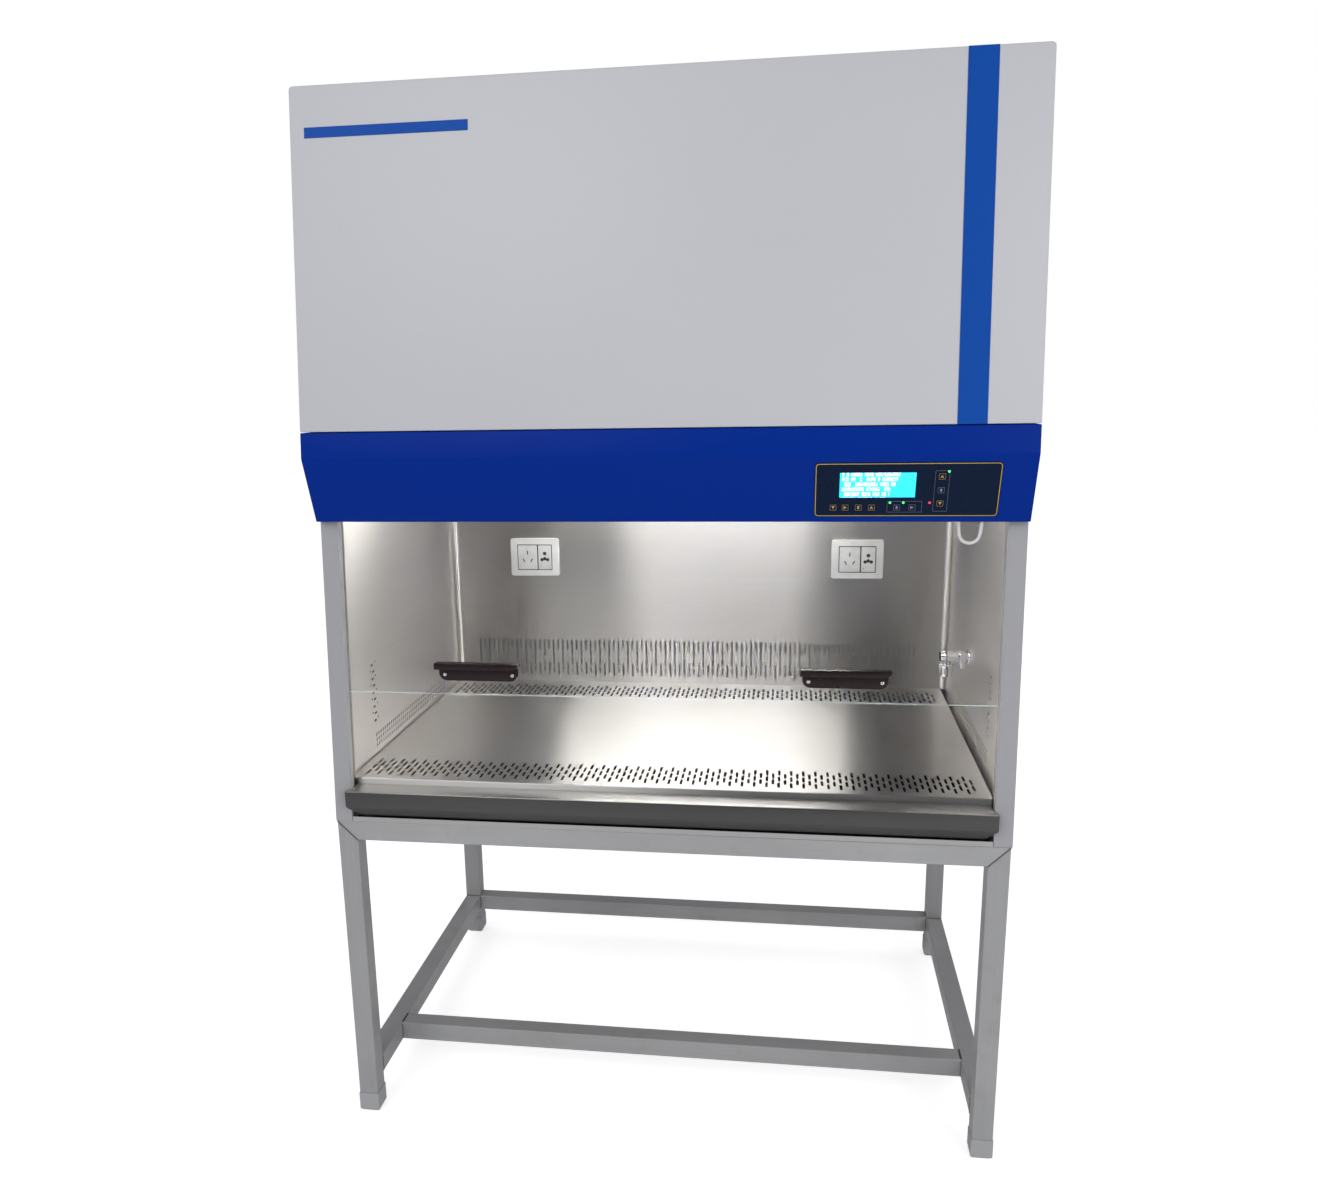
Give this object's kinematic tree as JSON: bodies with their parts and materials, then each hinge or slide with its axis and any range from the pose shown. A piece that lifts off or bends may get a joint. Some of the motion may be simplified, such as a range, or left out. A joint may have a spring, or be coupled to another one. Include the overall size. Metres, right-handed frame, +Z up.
{
  "type": "biosafety cabinet",
  "caption": "Floor-standing ventilated safety cabinet on a square-tube stand: glass sash that slides up, sloped control hood, hinged service cover, perforated work tray and armrest.",
  "frame": {"origin": "on the floor, in the middle of the overall width and depth", "axes": "+X to the right as the user faces the cabinet, +Y towards its back, +Z up"},
  "size_m": [1.3, 0.8652, 2.0264],
  "materials": {
    "panel_paint": "light grey textured powder coat, satin",
    "hood_paint": "deep blue gloss paint",
    "stripe_film": "blue film",
    "stand_steel": "satin stainless tube with weld marks",
    "cap_plastic": "pale grey moulded cap",
    "chamber_steel": "bright brushed stainless",
    "tray_steel": "bright, softly reflecting stainless",
    "armrest_steel": "satin stainless",
    "zinc_sheet": "zinc-coated sheet",
    "sash_pane": "clear safety glass with polished edges",
    "handle_plastic": "dark maroon moulding",
    "screw_chrome": "bright screw heads",
    "clip_metal": "satin",
    "guide_plastic": "pale low-friction guide",
    "seal_rubber": "brown strip",
    "cable_steel": "steel cable",
    "pulley_plastic": "moulded pulley",
    "weight_iron": "painted counterweight",
    "overlay_film": "dark blue film",
    "display_plastic": "lit pale cyan display",
    "indicator_plastic": "indicator lenses",
    "key_film": "dark blue key faces",
    "controller_plastic": "black housing",
    "filter_pack": "pleated filter in its frame",
    "motor_metal": "cast housing",
    "wheel_metal": "bare sheet",
    "lamp_paint": "white lamp fitting",
    "lamp_glass": "white lamp tube",
    "socket_plastic": "white moulded plate",
    "module_plastic": "white and black outlet inserts",
    "tap_metal": "pale enamelled tap body",
    "knob_plastic": "pale fluted knob",
    "gland_plastic": "black gland",
    "tube_silicone": "white flexible tube"
  },
  "bodies": {
    "cabinet": {"stand_legs": "stand_steel", "top_rails": "stand_steel", "lower_rails": "stand_steel", "foot_caps": "cap_plastic", "base_pan": "chamber_steel", "side_panel_left": "panel_paint", "side_panel_right": "panel_paint", "back_panel": "panel_paint", "roof_panel": "panel_paint", "exhaust_grille": "panel_paint", "exhaust_filter": "filter_pack", "supply_filter": "filter_pack", "diffuser_panel": "chamber_steel", "plenum_box": "zinc_sheet", "blower_housing": "zinc_sheet", "blower_motor": "motor_metal", "chamber_back_wall": "chamber_steel", "chamber_side_walls": "chamber_steel", "work_tray": "tray_steel", "armrest": "armrest_steel", "sash_guides": "guide_plastic", "sash_seals": "seal_rubber", "sash_cables": "cable_steel", "pulley_brackets": "zinc_sheet", "hood": "hood_paint", "controller_box": "controller_plastic", "control_overlay": "overlay_film", "display_window": "display_plastic", "indicator_lights": "indicator_plastic", "roof_hinges": "zinc_sheet", "lamp_fittings": "lamp_paint", "lamp_tubes": "lamp_glass", "socket_plates": "socket_plastic", "socket_modules": "module_plastic", "tap_body": "tap_metal", "power_gland": "gland_plastic", "hanging_tube": "tube_silicone"},
    "sash": {"sash_glass": "sash_pane", "sash_handles": "handle_plastic", "handle_screws": "screw_chrome", "sash_clips": "clip_metal"},
    "weight_left": {"weight_left": "weight_iron"},
    "weight_right": {"weight_right": "weight_iron"},
    "pulley_left": {"pulley_left": "pulley_plastic"},
    "pulley_right": {"pulley_right": "pulley_plastic"},
    "service_cover": {"service_cover": "panel_paint", "accent_stripes": "stripe_film", "cover_hinges": "zinc_sheet"},
    "blower_wheel": {"blower_wheel": "wheel_metal"},
    "tap_knob": {"tap_knob": "knob_plastic"},
    "key_1": {"key_1": "key_film"},
    "key_2": {"key_2": "key_film"},
    "key_3": {"key_3": "key_film"},
    "key_4": {"key_4": "key_film"},
    "key_5": {"key_5": "key_film"},
    "key_6": {"key_6": "key_film"},
    "key_7": {"key_7": "key_film"},
    "key_8": {"key_8": "key_film"},
    "key_9": {"key_9": "key_film"}
  },
  "joints": [
    {"name": "sash_slide", "type": "slide", "parent": "cabinet", "child": "sash", "axis": [0, 0.0663, 0.9978], "range_m": [-0.187, 0.23], "deforming": ["sash_cables"]},
    {"name": "weight_left_slide", "type": "slide", "parent": "cabinet", "child": "weight_left", "axis": [0, 0, 1], "range_m": [-0.232, 0.189]},
    {"name": "pulley_left_turn", "type": "hinge", "parent": "cabinet", "child": "pulley_left", "pos_m": [-0.596, -0.27824, 1.985], "axis": [1, 0, 0], "range_deg": [-662, 540]},
    {"name": "weight_right_slide", "type": "slide", "parent": "cabinet", "child": "weight_right", "axis": [0, 0, 1], "range_m": [-0.232, 0.189]},
    {"name": "pulley_right_turn", "type": "hinge", "parent": "cabinet", "child": "pulley_right", "pos_m": [0.596, -0.27824, 1.985], "axis": [1, 0, 0], "range_deg": [-662, 540]},
    {"name": "cover_hinge", "type": "hinge", "parent": "cabinet", "child": "service_cover", "pos_m": [0, -0.31901, 2.0234], "axis": [-1, 0, 0], "range_deg": [0, 75]},
    {"name": "blower_spin", "type": "hinge", "parent": "cabinet", "child": "blower_wheel", "pos_m": [0, 0.04059, 1.7], "axis": [1, 0, 0], "continuous": true},
    {"name": "tap_turn", "type": "hinge", "parent": "cabinet", "child": "tap_knob", "pos_m": [0.579, 0.02859, 0.8807], "axis": [0, 0, 1], "range_deg": [0, 90]},
    {"name": "key_1_press", "type": "slide", "parent": "cabinet", "child": "key_1", "axis": [0, 0.9409, 0.3387], "range_m": [0, 0.0008], "stiffness_N_per_m": 1000},
    {"name": "key_2_press", "type": "slide", "parent": "cabinet", "child": "key_2", "axis": [0, 0.9409, 0.3387], "range_m": [0, 0.0008], "stiffness_N_per_m": 1000},
    {"name": "key_3_press", "type": "slide", "parent": "cabinet", "child": "key_3", "axis": [0, 0.9409, 0.3387], "range_m": [0, 0.0008], "stiffness_N_per_m": 1000},
    {"name": "key_4_press", "type": "slide", "parent": "cabinet", "child": "key_4", "axis": [0, 0.9409, 0.3387], "range_m": [0, 0.0008], "stiffness_N_per_m": 1000},
    {"name": "key_5_press", "type": "slide", "parent": "cabinet", "child": "key_5", "axis": [0, 0.9409, 0.3387], "range_m": [0, 0.0008], "stiffness_N_per_m": 1000},
    {"name": "key_6_press", "type": "slide", "parent": "cabinet", "child": "key_6", "axis": [0, 0.9409, 0.3387], "range_m": [0, 0.0008], "stiffness_N_per_m": 1000},
    {"name": "key_7_press", "type": "slide", "parent": "cabinet", "child": "key_7", "axis": [0, 0.9409, 0.3387], "range_m": [0, 0.0008], "stiffness_N_per_m": 1000},
    {"name": "key_8_press", "type": "slide", "parent": "cabinet", "child": "key_8", "axis": [0, 0.9409, 0.3387], "range_m": [0, 0.0008], "stiffness_N_per_m": 1000},
    {"name": "key_9_press", "type": "slide", "parent": "cabinet", "child": "key_9", "axis": [0, 0.9409, 0.3387], "range_m": [0, 0.0008], "stiffness_N_per_m": 1000}
  ],
  "couplings": [
    {"joint": "weight_left_slide", "follows": "sash_slide", "ratio": -1},
    {"joint": "pulley_left_turn", "follows": "sash_slide", "rad_per_m": -50},
    {"joint": "weight_right_slide", "follows": "sash_slide", "ratio": -1},
    {"joint": "pulley_right_turn", "follows": "sash_slide", "rad_per_m": -50}
  ]
}
